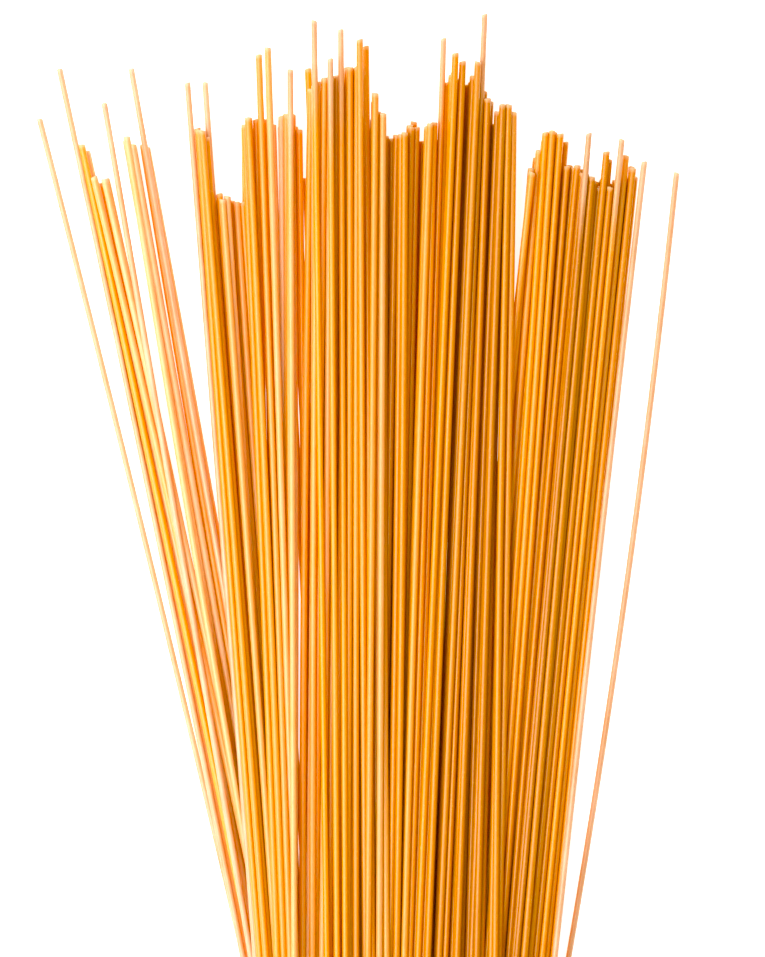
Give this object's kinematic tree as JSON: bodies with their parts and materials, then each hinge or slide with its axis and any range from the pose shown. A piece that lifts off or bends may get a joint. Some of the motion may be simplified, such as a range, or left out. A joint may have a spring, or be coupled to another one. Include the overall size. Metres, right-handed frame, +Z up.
{
  "type": "bundle of dry spaghetti",
  "caption": "Loose bundle of dry spaghetti lying flat, strands close together at the foot and fanned out into uneven clumps at the tips.",
  "frame": {"origin": "on the table, under the middle of the whole bundle's box", "axes": "+Y along the strands towards the fanned tips, +X across the fan to the right as seen from above, +Z up"},
  "size_m": [0.1622, 0.3074, 0.0191],
  "materials": {
    "dry_pasta": "dry durum wheat pasta: amber yellow, slightly translucent, smooth with a soft sheen, fine lengthwise streaks and pale floury ends"
  },
  "bodies": {
    "root": {"spaghetti_bundle": "dry_pasta"}
  },
  "joints": []
}
